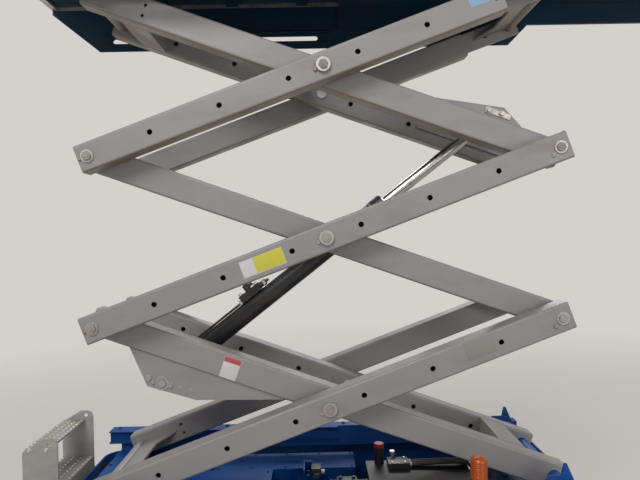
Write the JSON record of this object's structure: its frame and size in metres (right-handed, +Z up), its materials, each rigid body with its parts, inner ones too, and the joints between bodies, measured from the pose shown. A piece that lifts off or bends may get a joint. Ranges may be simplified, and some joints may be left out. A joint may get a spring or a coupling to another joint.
{
  "type": "scissor lift",
  "caption": "Self-propelled electric scissor lift with its arm stack partly raised, a guarded platform with slide-out deck, and steered front wheels",
  "frame": {"origin": "on the floor, at the middle of the bounding box seen from above", "axes": "+X to the front (steered wheels and slide-out deck), +Y to the left side, +Z up"},
  "size_m": [3.344, 0.81, 3.7428],
  "materials": {
    "arm_paint": "satin",
    "chassis_paint": "satin",
    "platform_paint": "satin",
    "pin_steel": "worn",
    "barrel_paint": "satin",
    "chrome_rod": "polished",
    "tyre_rubber": "matt",
    "rim_paint": "satin",
    "grey_steel": "dusty",
    "deck_sheet": "worn",
    "slide_nylon": "matt",
    "black_plastic": "matt",
    "amber_lens": "gloss"
  },
  "bodies": {
    "chassis": {"chassis_base": "chassis_paint", "chassis_sides": "chassis_paint", "wheel_decks": "chassis_paint", "pivot_brackets": "chassis_paint", "rear_axle": "grey_steel", "front_axle": "chassis_paint", "cover_hinges": "chassis_paint", "battery_pack": "black_plastic", "ladder_sides": "grey_steel", "ladder_treads": "grey_steel", "beacon": "amber_lens", "tray_covers": "chassis_paint", "power_unit": "barrel_paint", "chassis_hoses": "black_plastic"},
    "inner_frame_1": {"inner_arms_1": "arm_paint", "inner_cross_1": "arm_paint"},
    "outer_frame_1": {"outer_arms_1": "arm_paint", "outer_ties_1": "arm_paint", "arm_pins_1": "pin_steel"},
    "inner_frame_2": {"inner_arms_2": "arm_paint", "inner_cross_2": "arm_paint"},
    "outer_frame_2": {"outer_arms_2": "arm_paint", "arm_pins_2": "pin_steel"},
    "inner_frame_3": {"inner_arms_3": "arm_paint", "inner_cross_3": "arm_paint", "upper_slider_pins": "pin_steel"},
    "outer_frame_3": {"outer_arms_3": "arm_paint", "outer_ties_3": "arm_paint", "arm_pins_3": "pin_steel"},
    "lower_blocks": {"lower_slide_blocks": "slide_nylon"},
    "upper_blocks": {"upper_slide_blocks": "slide_nylon"},
    "barrel": {"cylinder_barrel": "barrel_paint"},
    "rod": {"cylinder_rod": "chrome_rod"},
    "platform": {"platform_frame": "platform_paint", "platform_deck": "deck_sheet", "guard_posts": "platform_paint", "guard_rails": "platform_paint", "gate_hoops": "platform_paint", "toe_boards": "platform_paint"},
    "gate": {"gate_posts": "platform_paint", "gate_rails": "platform_paint"},
    "extension": {"extension_deck": "platform_paint", "extension_posts": "platform_paint", "extension_rails": "platform_paint", "extension_boards": "platform_paint", "control_box": "black_plastic"},
    "knuckle_left": {"knuckle_left": "grey_steel"},
    "knuckle_right": {"knuckle_right": "grey_steel"},
    "tie_rod": {"tie_rod": "grey_steel"},
    "cover_left": {"side_cover_left": "chassis_paint"},
    "cover_right": {"side_cover_right": "chassis_paint"},
    "wheel_rear_left": {"tyre_rear_left": "tyre_rubber", "rim_rear_left": "rim_paint"},
    "wheel_rear_right": {"tyre_rear_right": "tyre_rubber", "rim_rear_right": "rim_paint"},
    "wheel_front_left": {"tyre_front_left": "tyre_rubber", "rim_front_left": "rim_paint"},
    "wheel_front_right": {"tyre_front_right": "tyre_rubber", "rim_front_right": "rim_paint"}
  },
  "joints": [
    {"name": "lift_fold", "type": "hinge", "parent": "chassis", "child": "inner_frame_1", "pos_m": [0.585, 0, 0.46], "axis": [0, 1, 0], "range_deg": [-15.9, 41.2]},
    {"name": "centre_pin_1", "type": "hinge", "parent": "inner_frame_1", "child": "outer_frame_1", "pos_m": [-0.3312, 0, 0.79347], "axis": [0, 1, 0], "range_deg": [-82.45, 31.85]},
    {"name": "front_pin_1", "type": "hinge", "parent": "outer_frame_1", "child": "inner_frame_2", "pos_m": [0.585, 0, 1.12694], "axis": [0, 1, 0], "range_deg": [-31.85, 82.45]},
    {"name": "centre_pin_2", "type": "hinge", "parent": "inner_frame_2", "child": "outer_frame_2", "pos_m": [-0.3312, 0, 1.46041], "axis": [0, 1, 0], "range_deg": [-82.45, 31.85]},
    {"name": "front_pin_2", "type": "hinge", "parent": "outer_frame_2", "child": "inner_frame_3", "pos_m": [0.585, 0, 1.79388], "axis": [0, 1, 0], "range_deg": [-31.85, 82.45]},
    {"name": "centre_pin_3", "type": "hinge", "parent": "inner_frame_3", "child": "outer_frame_3", "pos_m": [-0.3312, 0, 2.12735], "axis": [0, 1, 0], "range_deg": [-82.45, 31.85]},
    {"name": "platform_pin", "type": "hinge", "parent": "outer_frame_3", "child": "platform", "pos_m": [0.585, 0, 2.46082], "axis": [0, 1, 0], "range_deg": [-15.95, 41.25]},
    {"name": "lower_block_pin", "type": "hinge", "parent": "outer_frame_1", "child": "lower_blocks", "pos_m": [-1.2474, 0, 0.46], "axis": [0, 1, 0], "range_deg": [-15.95, 41.25]},
    {"name": "upper_block_pin", "type": "hinge", "parent": "inner_frame_3", "child": "upper_blocks", "pos_m": [-1.2474, 0, 2.46082], "axis": [0, 1, 0], "range_deg": [-41.25, 15.95]},
    {"name": "barrel_pin", "type": "hinge", "parent": "inner_frame_1", "child": "barrel", "pos_m": [-1.01103, 0, 0.88022], "axis": [0, 1, 0], "range_deg": [-80.39, 31.05]},
    {"name": "rod_slide", "type": "slide", "parent": "barrel", "child": "rod", "axis": [0.7933, 0, 0.6089], "range_m": [-0.2841, 0.7345]},
    {"name": "extension_slide", "type": "slide", "parent": "platform", "child": "extension", "axis": [-1, 0, 0], "range_m": [0, 0.84]},
    {"name": "gate_hinge", "type": "hinge", "parent": "platform", "child": "gate", "pos_m": [-1.65001, -0.272, 3.24282], "axis": [0, 0, 1], "range_deg": [-90, 0]},
    {"name": "cover_hinge_left", "type": "hinge", "parent": "chassis", "child": "cover_left", "pos_m": [0.33, 0.386, 0.26], "axis": [0, 0, 1], "range_deg": [-90, 0]},
    {"name": "steer_left", "type": "hinge", "parent": "chassis", "child": "knuckle_left", "pos_m": [0.595, 0.235, 0.1905], "axis": [0, 0, 1], "range_deg": [-30, 30]},
    {"name": "wheel_spin_rear_left", "type": "hinge", "parent": "chassis", "child": "wheel_rear_left", "pos_m": [-1.23501, 0.3415, 0.1905], "axis": [0, 1, 0], "continuous": true},
    {"name": "wheel_spin_front_left", "type": "hinge", "parent": "knuckle_left", "child": "wheel_front_left", "pos_m": [0.595, 0.3415, 0.1905], "axis": [0, 1, 0], "continuous": true},
    {"name": "cover_hinge_right", "type": "hinge", "parent": "chassis", "child": "cover_right", "pos_m": [0.33, -0.386, 0.26], "axis": [0, 0, 1], "range_deg": [0, 90]},
    {"name": "steer_right", "type": "hinge", "parent": "chassis", "child": "knuckle_right", "pos_m": [0.595, -0.235, 0.1905], "axis": [0, 0, 1], "range_deg": [-30, 30]},
    {"name": "wheel_spin_rear_right", "type": "hinge", "parent": "chassis", "child": "wheel_rear_right", "pos_m": [-1.23501, -0.3415, 0.1905], "axis": [0, 1, 0], "continuous": true},
    {"name": "wheel_spin_front_right", "type": "hinge", "parent": "knuckle_right", "child": "wheel_front_right", "pos_m": [0.595, -0.3415, 0.1905], "axis": [0, 1, 0], "continuous": true},
    {"name": "tie_rod_pin", "type": "hinge", "parent": "knuckle_left", "child": "tie_rod", "pos_m": [0.705, 0.235, 0.149], "axis": [0, 0, 1], "range_deg": [-30.1, 30.1]}
  ],
  "couplings": [
    {"joint": "centre_pin_1", "follows": "lift_fold", "ratio": -2},
    {"joint": "front_pin_1", "follows": "lift_fold", "ratio": 2},
    {"joint": "centre_pin_2", "follows": "lift_fold", "ratio": -2},
    {"joint": "front_pin_2", "follows": "lift_fold", "ratio": 2},
    {"joint": "centre_pin_3", "follows": "lift_fold", "ratio": -2},
    {"joint": "platform_pin", "follows": "lift_fold", "ratio": 1},
    {"joint": "lower_block_pin", "follows": "lift_fold", "ratio": 1},
    {"joint": "upper_block_pin", "follows": "lift_fold", "ratio": -1},
    {"joint": "barrel_pin", "follows": "lift_fold", "ratio": -1.95},
    {"joint": "rod_slide", "follows": "lift_fold", "m_per_rad": 1.02},
    {"joint": "steer_right", "follows": "steer_left", "ratio": 1},
    {"joint": "tie_rod_pin", "follows": "steer_left", "ratio": -1}
  ]
}
